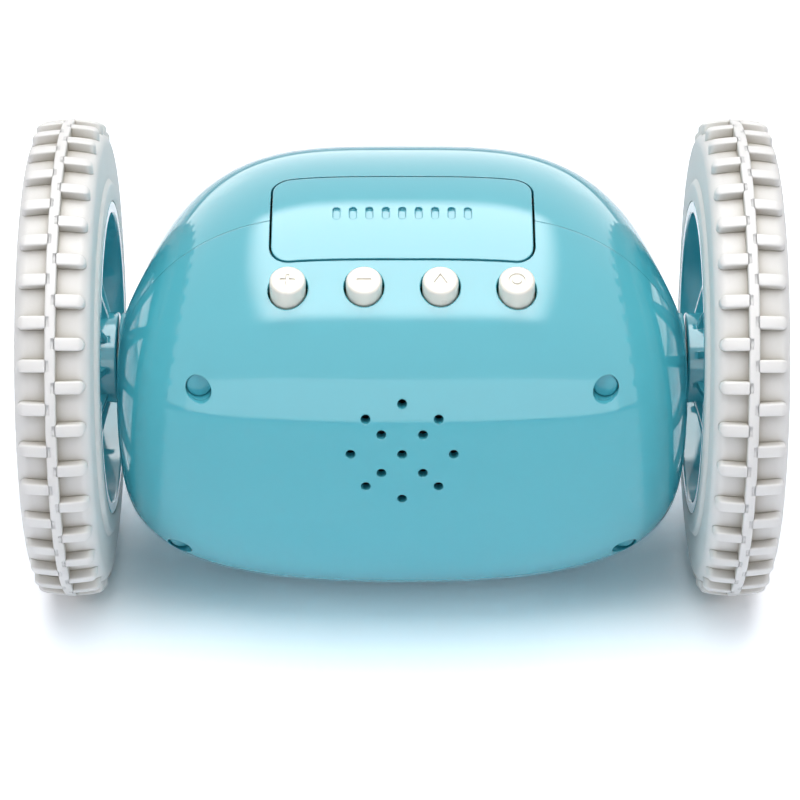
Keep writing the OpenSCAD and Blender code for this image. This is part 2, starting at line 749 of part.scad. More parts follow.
module wheel_hub(side) color(aqua) along_axle(side) difference() {
    union() {
        rod(collar_d, collar_x, web_x + web_t);
        rod(rim_d, rim_lip_x, hub_face_x);
    }
    difference() {
        rod(rim_d - 2 * rim_wall, rim_lip_x - 1, web_x);
        rod(collar_d, rim_lip_x - 1, web_x);
        for (i = [0:spokes - 1]) rotate(360 * i / spokes) spoke_rib();
    }
    rod(rim_d - 2 * rim_wall, web_x + web_t, hub_face_x + 1);
    for (i = [0:spokes - 1]) rotate(360 * (i + 0.5) / spokes) window();
    rod(axle_d, collar_x - 1, axle_end_x + 1);
}

// Rib on a spoke's inner side, tall by the collar and low by the rim.
module spoke_rib() rotate([90, 0, 0]) translate([0, 0, -spoke_rib_t / 2]) linear_extrude(spoke_rib_t)
    polygon([[0, collar_x + 1.5], [collar_d / 2 + 0.6, collar_x + 1.5], [rim_r, web_x - 1.4],
        [rim_r, web_x + 1], [0, web_x + 1]]);

// Window between two spokes, narrow by the collar and wide by the rim, with round corners.
module window() {
    corner = 1.2;
    r0 = collar_d / 2 + 3 + corner;
    r1 = rim_r - rim_wall - 2 - corner;
    half0 = max(0.2, r0 * tan(180 / spokes) - spoke_w / 2 - corner);
    half1 = r1 * tan(180 / spokes) - spoke_w / 2 - corner;
    lean = 90 + atan((half1 - half0) / (r1 - r0));
    corners = [[r1, -half1, -lean, 0], [r1, half1, 0, lean],
        [r0, half0, lean, 180], [r0, -half0, 180, 360 - lean]];
    translate([0, 0, web_x - 1]) linear_extrude(web_t + 2) polygon([
        for (c = corners, i = [0:5]) let (a = mix(c[2], c[3], i / 5))
            [c[0] + corner * cos(a), c[1] + corner * sin(a)]]);
}

// Outline of the tyre's section, radius against distance from its inner face.
function crown(u) = crown_r - dome_r + sqrt(dome_r ^ 2 - (u - tyre_w / 2) ^ 2);
module tyre_section(extra) polygon(concat(
    [[rim_r, -bead], [rim_r + 3.2, -bead], [rim_r + 4, 0], [crown(0) - shoulder_r, 0]],
    [for (i = [0:4]) let (a = 15 + 65 * i / 4)
        [crown(shoulder_r) - shoulder_r + shoulder_r * sin(a) + extra, shoulder_r - shoulder_r * cos(a)]],
    [for (i = [1:7]) let (u = mix(shoulder_r, tyre_w - shoulder_r, i / 8)) [crown(u) + extra, u]],
    [for (i = [4:-1:0]) let (a = 15 + 65 * i / 4)
        [crown(shoulder_r) - shoulder_r + shoulder_r * sin(a) + extra,
            tyre_w - shoulder_r + shoulder_r * cos(a)]],
    [[crown(0) - shoulder_r, tyre_w], [rim_r + 2, tyre_w], [rim_r, tyre_w - 1.6]]));

module tyre(side) color(tyre_white) along_axle(side) translate([0, 0, tyre_x]) {
    rotate_extrude() tyre_section(0);
    intersection() {
        rotate_extrude() difference() {
            tyre_section(tread_h);
            square([crown_r - 3, 3 * tyre_w], center = true);
        }
        union() {
            translate([0, 0, tyre_w / 2 - rib_w / 2]) cylinder(r = wheel_d, h = rib_w);
            for (i = [0:tread_bars - 1]) {
                rotate(360 * i / tread_bars) tread_bar(-1);
                rotate(360 * (i + 0.5) / tread_bars) tread_bar(1);
            }
        }
    }
}

// Radial bar on one side of the rib, with a round end.
module tread_bar(way) translate([crown_r - 3, 0, tyre_w / 2]) rotate([0, 90, 0]) linear_extrude(8) {
    translate([way * bar_len / 2 - way * bar_w / 4, 0]) square([bar_len - bar_w / 2, bar_w], center = true);
    translate([way * (bar_len - bar_w / 2), 0]) circle(d = bar_w);
}

module hub_screw(side) color(steel) along_axle(side) mirror([0, 0, 1])
    screw(1.4, 4, 1, -axle_end_x - 0.1, -axle_end_x + 5);
module hub_cap(side) color(aqua) along_axle(side) difference() {
    rod(2 * cap_r, axle_end_x, hub_end_x + 1);
    rod(2 * cap_r - 3, axle_end_x - 1, hub_end_x - 0.2);
}

module left_motor() motor(-1);
module left_motor_pinion() motor_pinion(-1);
module left_idler_gear() idler_gear(-1);
module left_idler_pin() idler_pin(-1);
module left_gear_frame() gear_frame(-1);
module left_axle_bush() axle_bush(-1);
module left_axle() axle(-1);
module left_axle_gear() axle_gear(-1);
module left_wheel_hub() wheel_hub(-1);
module left_tyre() tyre(-1);
module left_hub_screw() hub_screw(-1);
module left_hub_cap() hub_cap(-1);
module right_motor() motor(1);
module right_motor_pinion() motor_pinion(1);
module right_idler_gear() idler_gear(1);
module right_idler_pin() idler_pin(1);
module right_gear_frame() gear_frame(1);
module right_axle_bush() axle_bush(1);
module right_axle() axle(1);
module right_axle_gear() axle_gear(1);
module right_wheel_hub() wheel_hub(1);
module right_tyre() tyre(1);
module right_hub_screw() hub_screw(1);
module right_hub_cap() hub_cap(1);

front_shell();
rear_shell();
shell_screws();
screw_plugs();
snooze_bar();
snooze_springs();
plus_button();
minus_button();
alarm_button();
clock_button();
left_front_button();
right_front_button();
key_board();
key_switches();
front_key_board();
front_switches();
board_screws();
display_lens();
display_bezel();
lcd_module();
lcd_contact_strips();
main_board();
speaker();
battery_tray();
battery_cells();
battery_contacts();
battery_door();
battery_door_screw();
left_motor();
left_motor_pinion();
left_idler_gear();
left_idler_pin();
left_gear_frame();
left_axle_bush();
left_axle();
left_axle_gear();
left_wheel_hub();
left_tyre();
left_hub_screw();
left_hub_cap();
right_motor();
right_motor_pinion();
right_idler_gear();
right_idler_pin();
right_gear_frame();
right_axle_bush();
right_axle();
right_axle_gear();
right_wheel_hub();
right_tyre();
right_hub_screw();
right_hub_cap();
gear_frame_screws();
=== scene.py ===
# %% [markdown]
# # A runaway alarm clock
# The object is a round clock body of glossy blue-green plastic, hung on an axle line between
# two wide white tyres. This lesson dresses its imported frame. The frame says where each piece
# is and how it moves. Here each visible piece gets its final form and finish.
# All forms are worked out in millimetres about the middle of the axle line, and are turned
# into metres in the frame when a piece is finished.

# %% Load the frame
import json
import math

import bmesh
import bpy
import numpy as np
from mathutils import Matrix, Vector


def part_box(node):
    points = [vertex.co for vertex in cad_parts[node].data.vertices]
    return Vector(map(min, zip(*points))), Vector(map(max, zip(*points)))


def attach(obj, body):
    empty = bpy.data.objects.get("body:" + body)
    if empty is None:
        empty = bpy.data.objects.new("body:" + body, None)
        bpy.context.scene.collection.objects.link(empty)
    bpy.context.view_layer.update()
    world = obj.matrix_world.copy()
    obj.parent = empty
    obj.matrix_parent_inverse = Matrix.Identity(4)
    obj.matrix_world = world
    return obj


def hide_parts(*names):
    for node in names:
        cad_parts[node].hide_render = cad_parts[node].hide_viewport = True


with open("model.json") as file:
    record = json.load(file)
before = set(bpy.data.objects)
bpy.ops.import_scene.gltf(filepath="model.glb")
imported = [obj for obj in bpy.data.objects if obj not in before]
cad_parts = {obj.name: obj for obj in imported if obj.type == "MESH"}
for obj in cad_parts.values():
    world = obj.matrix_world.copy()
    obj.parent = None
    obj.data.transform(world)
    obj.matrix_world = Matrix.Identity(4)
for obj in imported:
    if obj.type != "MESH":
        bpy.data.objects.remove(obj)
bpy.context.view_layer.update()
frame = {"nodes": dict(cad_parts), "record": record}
MM = 0.001
tyre_low, tyre_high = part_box("left_tyre")
AXLE = Vector((0, 0, (tyre_low.z + tyre_high.z) / 2))
print("axle height in mm:", round(AXLE.z / MM, 2))

# %% [markdown]
# ## Camera
# The photograph looks at the clock's rear from a little above, with a long lens from over
# half a metre away. The width of the tyres against the width of the whole clock gives the
# distance, and the ellipse of a wheel's inner side gives the height of the camera. The
# camera aims a little below the axle, as the clock stands above the picture's middle.

# %% Camera
CAMERA_DISTANCE = 638 * MM
CAMERA_HEIGHT_ANGLE = math.radians(27)
LENS = 155
AIM = AXLE + Vector((-0.4, -3.6, -7.0)) * MM
camera = bpy.data.objects.new("camera", bpy.data.cameras.new("camera"))
bpy.context.scene.collection.objects.link(camera)
back = Vector((0, -math.cos(CAMERA_HEIGHT_ANGLE), math.sin(CAMERA_HEIGHT_ANGLE)))
camera.location = AXLE + CAMERA_DISTANCE * back
camera.rotation_euler = (AIM - camera.location).to_track_quat("-Z", "Y").to_euler()
camera.data.lens = LENS
camera.data.clip_start, camera.data.clip_end = 0.05, 20
bpy.context.scene.camera = camera

# %% [markdown]
# ## One helper for nodes and one for colours
# A material in Blender is a tree of nodes. Colours are written as sRGB hex values, the way a
# colour picker shows them, and one function turns them to the linear values that light needs.

# %% Node and colour helpers
def colour(code):
    """Linear RGBA of an sRGB hex value such as 7cc6d2."""
    parts = [int(code[i : i + 2], 16) / 255 for i in (0, 2, 4)]
    return [p / 12.92 if p <= 0.04045 else ((p + 0.055) / 1.055) ** 2.4 for p in parts] + [1]


def add(tree, kind, inputs=None, **settings):
    """Adds a node. An input that is an output of another node is linked, any other is set."""
    made = tree.nodes.new(kind)
    for key, value in settings.items():
        setattr(made, key, value)
    for socket, value in (inputs or {}).items():
        if isinstance(value, bpy.types.NodeSocket):
            tree.links.new(value, made.inputs[socket])
        else:
            made.inputs[socket].default_value = value
    return made


def per_mm(size):
    """Texture scale at which a pattern's cells are size millimetres wide."""
    return 1 / (size * MM)


def new_material(name):
    """Empty material with its shader, and its object coordinates."""
    material = bpy.data.materials.new(name)
    material.use_nodes = True
    tree = material.node_tree
    shader = tree.nodes["Principled BSDF"]
    where = add(tree, "ShaderNodeTexCoord").outputs["Object"]
    return material, tree, shader, where


# %% [markdown]
# ## Moulded plastic
# The body, bar, buttons and hubs are ABS, injection moulded in polished steel tools. Polish
# gives sharp reflections with a faint orange peel from the way the plastic shrinks. Every
# edge has a small radius, because a tool can't be cut sharp. The Bevel node rounds the
# shading over the edges and the fillets that are too small to model. A slow noise keeps the
# colour from being dead flat, and a fine one varies the gloss as handling does.

# %% Moulded plastic
def moulded(name, code, deep, gloss=(0.13, 0.2), edge=0.3, grain=1.6, depth=0.004):
    material, tree, shader, where = new_material(name)
    slow = add(tree, "ShaderNodeTexNoise", {"Vector": where, "Scale": per_mm(26), "Detail": 3.0})
    tone = add(tree, "ShaderNodeMix", data_type="RGBA", blend_type="MIX")
    tree.links.new(slow.outputs["Fac"], tone.inputs["Factor"])
    tone.inputs["A"].default_value = colour(code)
    tone.inputs["B"].default_value = colour(deep)
    tree.links.new(tone.outputs["Result"], shader.inputs["Base Color"])
    handled = add(tree, "ShaderNodeTexNoise", {"Vector": where, "Scale": per_mm(5), "Detail": 6.0})
    sheen = add(tree, "ShaderNodeMapRange", {"Value": handled.outputs["Fac"], "From Min": 0.35,
        "From Max": 0.7, "To Min": gloss[0], "To Max": gloss[1]})
    tree.links.new(sheen.outputs["Result"], shader.inputs["Roughness"])
    peel = add(tree, "ShaderNodeTexNoise", {"Vector": where, "Scale": per_mm(grain), "Detail": 1.0})
    rounded = add(tree, "ShaderNodeBevel", {"Radius": edge * MM}, samples=6)
    bump = add(tree, "ShaderNodeBump", {"Strength": 0.5, "Distance": depth * MM,
        "Height": peel.outputs["Fac"], "Normal": rounded.outputs["Normal"]})
    tree.links.new(bump.outputs["Normal"], shader.inputs["Normal"])
    shader.inputs["IOR"].default_value = 1.54
    return material


shell_plastic = moulded("gloss_moulded_ABS_aqua", "50b2bf", "4caebc", gloss=(0.05, 0.1))
button_plastic = moulded("satin_moulded_ABS_ivory", "ece7db", "e7e1d3", gloss=(0.26, 0.36))
dark_plastic = moulded("matte_moulded_plastic_dark", "2b2d30", "242628", gloss=(0.5, 0.62))
acetal = moulded("moulded_acetal_natural", "f0efe8", "e9e7de", gloss=(0.32, 0.42), edge=0.1)

# %% [markdown]
# ## White tyre rubber
# The tyres are a soft moulded elastomer. Its surface is a fine matt spark texture. Painted shade from
# ambient occlusion makes the hollows between the tread bars warmer and a touch darker than the tops.
# Light goes a short way into it, which softens the shadows.

# %% White tyre rubber
def tyre_rubber_material():
    material, tree, shader, where = new_material("matt_moulded_elastomer_white")
    slow = add(tree, "ShaderNodeTexNoise", {"Vector": where, "Scale": per_mm(9), "Detail": 5.0})
    tone = add(tree, "ShaderNodeMix", data_type="RGBA", blend_type="MIX")
    tree.links.new(slow.outputs["Fac"], tone.inputs["Factor"])
    tone.inputs["A"].default_value = colour("e0dedb")
    tone.inputs["B"].default_value = colour("dad8d3")
    # Painted shade: the base colour is multiplied by a warm grey where ambient occlusion finds
    # hollows, such as between the tread bars.
    occlusion = add(tree, "ShaderNodeAmbientOcclusion", {"Distance": 5 * MM}, samples=8)
    painted_hollow_shade = add(tree, "ShaderNodeMix", data_type="RGBA", blend_type="MULTIPLY")
    tree.links.new(tone.outputs["Result"], painted_hollow_shade.inputs["A"])
    painted_hollow_shade.inputs["B"].default_value = colour("c2bdb3")
    shade = add(tree, "ShaderNodeMapRange", {"Value": occlusion.outputs["AO"], "From Min": 0.4,
        "From Max": 0.95, "To Min": 1.0, "To Max": 0.0})
    tree.links.new(shade.outputs["Result"], painted_hollow_shade.inputs["Factor"])
    tree.links.new(painted_hollow_shade.outputs["Result"], shader.inputs["Base Color"])
    spark = add(tree, "ShaderNodeTexNoise", {"Vector": where, "Scale": per_mm(0.35), "Detail": 2.0})
    rounded = add(tree, "ShaderNodeBevel", {"Radius": 0.25 * MM}, samples=6)
    bump = add(tree, "ShaderNodeBump", {"Strength": 0.6, "Distance": 0.03 * MM,
        "Height": spark.outputs["Fac"], "Normal": rounded.outputs["Normal"]})
    tree.links.new(bump.outputs["Normal"], shader.inputs["Normal"])
    shader.inputs["Roughness"].default_value = 0.55
    shader.inputs["IOR"].default_value = 1.5
    shader.inputs["Subsurface Weight"].default_value = 0.12
    shader.inputs["Subsurface Radius"].default_value = (1.0, 0.9, 0.8)
    shader.inputs["Subsurface Scale"].default_value = 1.2 * MM
    return material


tyre_rubber = tyre_rubber_material()

# %% [markdown]
# ## Metals, boards and the display
# These show through the window, the grille holes and the battery bay's screw hole, or lie
# inside. The metals are zinc plate and turned brass with fine lathe lines. The boards are
# glass-epoxy with a solder mask. The window is polished acrylic.

# %% Metals
def metal(name, code, rough, line):
    material, tree, shader, where = new_material(name)
    stretched = add(tree, "ShaderNodeMapping", {"Vector": where, "Scale": (0.15, 1.0, 1.0)})
    lines = add(tree, "ShaderNodeTexNoise",
        {"Vector": stretched.outputs["Vector"], "Scale": per_mm(line), "Detail": 4.0})
    spread = add(tree, "ShaderNodeMapRange", {"Value": lines.outputs["Fac"], "From Min": 0.3,
        "From Max": 0.7, "To Min": rough - 0.06, "To Max": rough + 0.08})
    tree.links.new(spread.outputs["Result"], shader.inputs["Roughness"])
    bump = add(tree, "ShaderNodeBump",
        {"Strength": 0.4, "Distance": 0.01 * MM, "Height": lines.outputs["Fac"]})
    tree.links.new(bump.outputs["Normal"], shader.inputs["Normal"])
    shader.inputs["Base Color"].default_value = colour(code)
    shader.inputs["Metallic"].default_value = 1
    return material


zinc_plate = metal("zinc_plated_steel", "c9cbce", 0.28, 0.2)
turned_brass = metal("turned_brass", "d2ad5f", 0.24, 0.12)


# %% Boards, display and cells
def board():
    material, tree, shader, where = new_material("glass_epoxy_board_green")
    weave = add(tree, "ShaderNodeTexWave", {"Vector": where, "Scale": per_mm(2.4), "Distortion": 0.6})
    tone = add(tree, "ShaderNodeMix", data_type="RGBA", blend_type="MIX")
    tree.links.new(weave.outputs["Fac"], tone.inputs["Factor"])
    tone.inputs["A"].default_value = colour("2a6a48")
    tone.inputs["B"].default_value = colour("2f7450")
    tree.links.new(tone.outputs["Result"], shader.inputs["Base Color"])
    shader.inputs["Roughness"].default_value = 0.35
    return material


def display_panel():
    material, tree, shader, where = new_material("liquid_crystal_panel_grey_green")
    dots = add(tree, "ShaderNodeTexNoise", {"Vector": where, "Scale": per_mm(0.3), "Detail": 1.0})
    tone = add(tree, "ShaderNodeMix", data_type="RGBA", blend_type="MIX")
    tree.links.new(dots.outputs["Fac"], tone.inputs["Factor"])
    tone.inputs["A"].default_value = colour("a3ae97")
    tone.inputs["B"].default_value = colour("99a58d")
    tree.links.new(tone.outputs["Result"], shader.inputs["Base Color"])
    shader.inputs["Roughness"].default_value = 0.22
    return material


def clear_window():
    material, tree, shader, where = new_material("polished_acrylic_clear")
    wipe = add(tree, "ShaderNodeTexNoise", {"Vector": where, "Scale": per_mm(3), "Detail": 5.0})
    haze = add(tree, "ShaderNodeMapRange", {"Value": wipe.outputs["Fac"], "From Min": 0.4,
        "From Max": 0.8, "To Min": 0.02, "To Max": 0.08})
    tree.links.new(haze.outputs["Result"], shader.inputs["Roughness"])
    shader.inputs["Base Color"].default_value = colour("eef6f6")
    shader.inputs["Transmission Weight"].default_value = 1
    shader.inputs["IOR"].default_value = 1.49
    return material


circuit_board = board()
lcd_glass = display_panel()
clear_lens = clear_window()
contact_rubber = moulded("layered_elastomer_pink", "c97fa0", "bd7494", gloss=(0.5, 0.6), edge=0.1)
cell_wrap = moulded("printed_film_silver", "bfc0c2", "b4b6b9", gloss=(0.25, 0.35), edge=0.2)

FINISH = {
    "shell_plastic": shell_plastic,
    "button_plastic": button_plastic,
    "tyre_rubber": tyre_rubber,
    "circuit_board": circuit_board,
    "dark_plastic": dark_plastic,
    "steel": zinc_plate,
    "brass": turned_brass,
    "acetal": acetal,
    "clear_lens": clear_lens,
    "lcd_glass": lcd_glass,
    "contact_rubber": contact_rubber,
    "cell_wrap": cell_wrap,
}
for part in frame["record"]["subparts"]:
    for place in frame["nodes"][part["node"]].material_slots:
        place.material = FINISH[part["material_slot"]]
print("finishes:", len(FINISH))

# %% [markdown]
# ## The body's skin
# The body is no ball: its section round the axle line is nearly round, but it is fuller at
# the lower rear and slimmer at the upper front, and its ends are blunt below and pointed
# above. One formula says how far the skin lies from the axle line at a distance x from the
# middle, in a direction phi measured up from the rear. Every piece of the skin, such as the
# shells, the bar, the window and the door, is cut from this one form, so that all of them
# line up with no step.

# %% Skin formula
BODY_LEN = 103.6
FULL_R, SLIM_R = 41.6, 39.1
FULL_DIR = math.radians(-54)
FULL_TAPER = (2.4, 5.6)
SLIM_TAPER = (3.6, 1.46)
WALL = 2.2
SEAM_Y = -15.4


def tapers(phi):
    """Share of the full side in direction phi, and the two taper exponents there."""
    share = (1 + np.cos(phi - FULL_DIR)) / 2
    share = share * share * (3 - 2 * share)
    along = SLIM_TAPER[0] + (FULL_TAPER[0] - SLIM_TAPER[0]) * share
    across = SLIM_TAPER[1] + (FULL_TAPER[1] - SLIM_TAPER[1]) * share
    return share, along, across


def skin(x, phi, inset=0.0):
    """Distance of the skin, drawn in by inset, from the axle line."""
    share, along, across = tapers(phi)
    widest = SLIM_R + (FULL_R - SLIM_R) * share - inset
    left = np.clip(1 - (np.abs(x) / (BODY_LEN / 2 - inset)) ** along, 0, 1)
    return widest * left ** (1 / across)


def skin_height(x, y, direction):
    """Height of the skin over the point x, y of the frame that faces the direction."""
    height = 36.0
    for _ in range(8):
        phi = math.radians(direction) + math.atan2(y, height)
        height = math.sqrt(float(skin(x, phi)) ** 2 - y * y)
    return height


# %% [markdown]
# ## A closed form of the skin
# A UV sphere has the right net: rings between two poles. Its poles are laid on the axle line
# and each vertex is moved out to the skin. The rings are spread evenly along the middle and
# crowd together at the ends, where the skin turns fastest.

# %% Body form
EVEN_RINGS = 0.6
EVEN_REACH = 0.85


def body_form(inset, sides=220, rings=120):
    """Bmesh of the closed skin, drawn in by inset."""
    bm = bmesh.new()
    bmesh.ops.create_uvsphere(bm, u_segments=sides, v_segments=rings, radius=1)
    net = np.array([v.co for v in bm.verts])
    turn = np.arcsin(np.clip(net[:, 2], -1, 1)) / (math.pi / 2)
    phi = np.arctan2(net[:, 1], net[:, 0])
    _, along, across = tapers(phi)
    start = np.arcsin(EVEN_REACH ** (along / 2))
    angle = start + (math.pi / 2 - start) * (np.abs(turn) - EVEN_RINGS) / (1 - EVEN_RINGS)
    crowded = np.sin(np.maximum(angle, 0.01)) ** (2 / along)
    even = np.abs(turn) / EVEN_RINGS * EVEN_REACH
    station = np.where(np.abs(turn) < EVEN_RINGS, even, crowded)
    x = np.sign(turn) * (BODY_LEN / 2 - inset) * np.minimum(station, 1)
    radius = skin(x, phi, inset)
    for vertex, a, r, p in zip(bm.verts, x, radius, phi):
        vertex.co = (a, -r * math.cos(p), r * math.sin(p))
    bmesh.ops.recalc_face_normals(bm, faces=bm.faces)
    return bm


# %% [markdown]
# ## Cutting tools
# Holes and pieces of the skin are made with Boolean modifiers, which are applied at once.
# The tools are plain blocks and rods. `facing` lays a tool's Z axis along the direction in
# which a button presses or a door lifts, in the same way as the frame's own construction.

# %% Tools and booleans
def facing(direction, x=0.0, y=0.0):
    """Local Z points out in the direction, in degrees up from the rear; local Y turns with it."""
    a = math.radians(direction)
    turn = Matrix(((1, 0, 0), (0, math.sin(a), -math.cos(a)), (0, math.cos(a), math.sin(a))))
    return turn.to_4x4() @ Matrix.Translation((x, y, 0))


def along_axle(side):
    """Local Z points out along the axle, to the side -1 or 1."""
    return Matrix.Rotation(math.radians(90 * side), 4, "Y")


def rod(d, low, high, place, sides=64, top_d=None):
    bm = bmesh.new()
    middle = Matrix.Translation((0, 0, (low + high) / 2))
    bmesh.ops.create_cone(bm, cap_ends=True, segments=sides, radius1=d / 2,
        radius2=(top_d or d) / 2, depth=high - low, matrix=place @ middle)
    return bm


def block(width, height, corner, low, high, place, round_steps=8):
    """Upright block whose four upright edges are rounded by a bevel."""
    bm = bmesh.new()
    size = Matrix.Diagonal((width, height, high - low, 1))
    bmesh.ops.create_cube(bm, size=1, matrix=Matrix.Translation((0, 0, (low + high) / 2)) @ size)
    if corner:
        upright = [e for e in bm.edges if abs(e.verts[0].co.z - e.verts[1].co.z) > 0.1]
        bmesh.ops.bevel(bm, geom=upright, offset=corner, offset_type="OFFSET", affect="EDGES",
            segments=round_steps, profile=0.5, material=-1)
    bmesh.ops.transform(bm, matrix=place, verts=bm.verts)
    return bm


def as_object(forms, name="form"):
    """One scene object from a bmesh or from several that don't touch each other."""
    mesh = bpy.data.meshes.new(name)
    whole = bmesh.new()
    for bm in forms if isinstance(forms, list) else [forms]:
        bm.to_mesh(mesh)
        bm.free()
        whole.from_mesh(mesh)
    whole.to_mesh(mesh)
    whole.free()
    made = bpy.data.objects.new(name, mesh)
    bpy.context.scene.collection.objects.link(made)
    return made


def carve(target, how, forms):
    """Cuts, keeps or joins the forms, and leaves a plain mesh."""
    tool = forms if isinstance(forms, bpy.types.Object) else as_object(forms)
    step = target.modifiers.new(how, "BOOLEAN")
    step.operation, step.solver, step.object = how, "MANIFOLD", tool
    graph = bpy.context.evaluated_depsgraph_get()
    carved = bpy.data.meshes.new_from_object(target.evaluated_get(graph))
    target.modifiers.clear()
    target.data = carved
    bpy.data.objects.remove(tool)
    return target


# %% [markdown]
# ## Finishing a piece
# A finished piece is scaled to metres, lifted to the axle's height and given its finish. A
# glossy skin shows every wobble in its normals, so where a face lies on the skin its corners
# get the skin's own normals, worked out from the formula. Elsewhere edges over 35 degrees
# stay sharp and the rest is smooth.

# %% Finish a piece
SHARP = math.radians(35)
ON_SKIN = 0.02


def skin_normals(points):
    """Unit normals of the skin at points in millimetres about the axle's middle."""
    x, phi = points[:, 0], np.arctan2(points[:, 2], -points[:, 1])
    r = skin(x, phi)
    step = 0.01
    x_low, x_high = x - step, np.minimum(x + step, BODY_LEN / 2)
    slope_x = (skin(x_high, phi) - skin(x_low, phi)) / (x_high - x_low)
    slope_phi = (skin(x, phi + 1e-4) - skin(x, phi - 1e-4)) / 2e-4 / np.maximum(r, 1e-6)
    out = np.stack([0 * x, -np.cos(phi), np.sin(phi)], 1)
    round_it = np.stack([0 * x, np.sin(phi), np.cos(phi)], 1)
    normals = out - slope_phi[:, None] * round_it
    normals[:, 0] -= slope_x
    return normals / np.linalg.norm(normals, axis=1)[:, None]


def use_skin_normals(mesh):
    """Gives the corners of each face on the skin the skin's own normals."""
    co = np.empty(len(mesh.vertices) * 3, np.float32)
    mesh.vertices.foreach_get("co", co)
    points = co.reshape(-1, 3).astype(float)
    off = np.hypot(points[:, 1], points[:, 2]) - skin(
        points[:, 0], np.arctan2(points[:, 2], -points[:, 1]))
    near_end = np.abs(points[:, 0]) > BODY_LEN / 2 - 1.5
    close = (np.abs(off) < ON_SKIN) & ~near_end
    ideal = skin_normals(points)
    corner = np.empty(len(mesh.loops) * 3, np.float32)
    mesh.corner_normals.foreach_get("vector", corner)
    corner = corner.reshape(-1, 3)
    for face in mesh.polygons:
        around = list(face.vertices)
        if close[around].all() and np.dot(face.normal, ideal[around[0]]) > 0.8:
            corner[face.loop_start : face.loop_start + face.loop_total] = ideal[around]
    mesh.normals_split_custom_set(corner.tolist())


def finish_piece(made, name, body, slot, stands_for=(), on_skin=False):
    mesh = made.data
    made.name = mesh.name = name
    mesh.materials.clear()
    mesh.materials.append(FINISH[slot])
    mesh.shade_smooth()
    mesh.set_sharp_from_angle(angle=SHARP)
    if on_skin:
        use_skin_normals(mesh)
    mesh.transform(Matrix.Translation(AXLE) @ Matrix.Scale(MM, 4))
    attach(made, body)
    if stands_for:
        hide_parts(*stands_for)
    print(name, len(mesh.polygons), "faces")
    return made


# %% [markdown]
# ## The two shells
# The real body is moulded in two shells that meet on a flat parting plane, a little behind
# the axle, and four screws from the rear hold them together. The walls, the end bosses and
# the posts are one moulding with each shell. Here the whole skin is hollowed, cut at the
# parting plane, and then gets its openings. A gap of a tenth of a millimetre is left at the
# parting plane, so that it shows as the fine line that the real one has.

# %% Sizes on the shells
COLLAR_D = 16.7
BUSH_D = 6.0
PRESS_DIR = 65
SNOOZE = (46.0, 20.0, 3.2)
SNOOZE_Y = 1.6
SNOOZE_GAP = 0.4
BUTTON_D, BUTTON_GAP, BUTTON_PITCH, BUTTON_Y = 6.3, 0.4, 13.3, -13.7
DISPLAY_DIR = 165
LENS_SIZE = (50.0, 25.0, 6.0)
EYE_DIR, EYE_D, EYE_PITCH = 134, 9.4, 30.0
BAY_DIR = 250
DOOR = (49.0, 41.0, 4.0)
DOOR_TAB_X, DOOR_TAB_D = 29.25, 9.0
SLIP = 0.25
FAR = 60
UPPER_SCREW, LOWER_SCREW = (35.6, 11.6), (40.5, -25.7)
RECESS_D = 4.6
PLUG_T, PLUG_INSET, SCREW_HEAD_T, TOUCH = 1.2, 0.35, 1.5, 0.3
GRILLE_Z, GRILLE_D, GRILLE_R = 2.0, 1.7, 9.0
PARTING_GAP = 0.1


def set_button_frame(i):
    return facing(PRESS_DIR, (i - 1.5) * BUTTON_PITCH, BUTTON_Y)


def door_tool(gap):
    """The door's outline with its screw tab, as forms to join."""
    width, height, corner = DOOR
    return [
        block(width + 2 * gap, height + 2 * gap, corner, 20, FAR, facing(BAY_DIR)),
        rod(DOOR_TAB_D + 2 * gap, 20, FAR, facing(BAY_DIR, DOOR_TAB_X)),
        block(DOOR_TAB_X, DOOR_TAB_D + 2 * gap, 0, 20, FAR, facing(BAY_DIR, DOOR_TAB_X / 2)),
    ]


def united(forms):
    """One object from forms that overlap."""
    whole = as_object(forms[0])
    for form in forms[1:]:
        carve(whole, "UNION", form)
    return whole


# %% Hollow body with its bosses and openings
def half_space(front):
    low, high = (SEAM_Y + PARTING_GAP / 2, FAR) if front else (-FAR, SEAM_Y - PARTING_GAP / 2)
    middle = Matrix.Translation((0, (low + high) / 2, 0))
    return block(2 * FAR, high - low, 0, -FAR, FAR, middle)


def shell_half(front):
    shell = as_object(body_form(0))
    carve(shell, "DIFFERENCE", body_form(WALL, 96, 60))
    if front:
        for side in (-1, 1):
            carve(shell, "UNION", rod(COLLAR_D, BODY_LEN / 2 - 9, BODY_LEN / 2, along_axle(side), 96))
            carve(shell, "DIFFERENCE", rod(BUSH_D, 30, FAR, along_axle(side)))
    carve(shell, "INTERSECT", half_space(front))
    width, height, corner = SNOOZE
    gap = SNOOZE_GAP
    carve(shell, "DIFFERENCE", block(width + 2 * gap, height + 2 * gap, corner + gap, 30, FAR,
        facing(PRESS_DIR, 0, SNOOZE_Y)))
    return shell


def front_shell():
    shell = shell_half(True)
    width, height, corner = LENS_SIZE
    carve(shell, "DIFFERENCE", block(width + 2 * SLIP, height + 2 * SLIP, corner + SLIP, 26, FAR,
        facing(DISPLAY_DIR)))
    carve(shell, "DIFFERENCE", [rod(EYE_D + 2 * BUTTON_GAP, 30, FAR,
        facing(EYE_DIR, side * EYE_PITCH / 2)) for side in (-1, 1)])
    carve(shell, "DIFFERENCE", united(door_tool(SLIP)))
    return finish_piece(shell, "front_shell_skin", "body", "shell_plastic", ["front_shell"], True)


def grille_frames():
    """One hole in the middle, four round it on the diagonals and eight in the outer ring."""
    yield facing(0, 0, GRILLE_Z)
    for radius, count, start in ((GRILLE_R * 0.57, 4, 45), (GRILLE_R, 8, 0)):
        for i in range(count):
            a = math.radians(start + 360 * i / count)
            yield facing(0, radius * math.cos(a), GRILLE_Z + radius * math.sin(a))


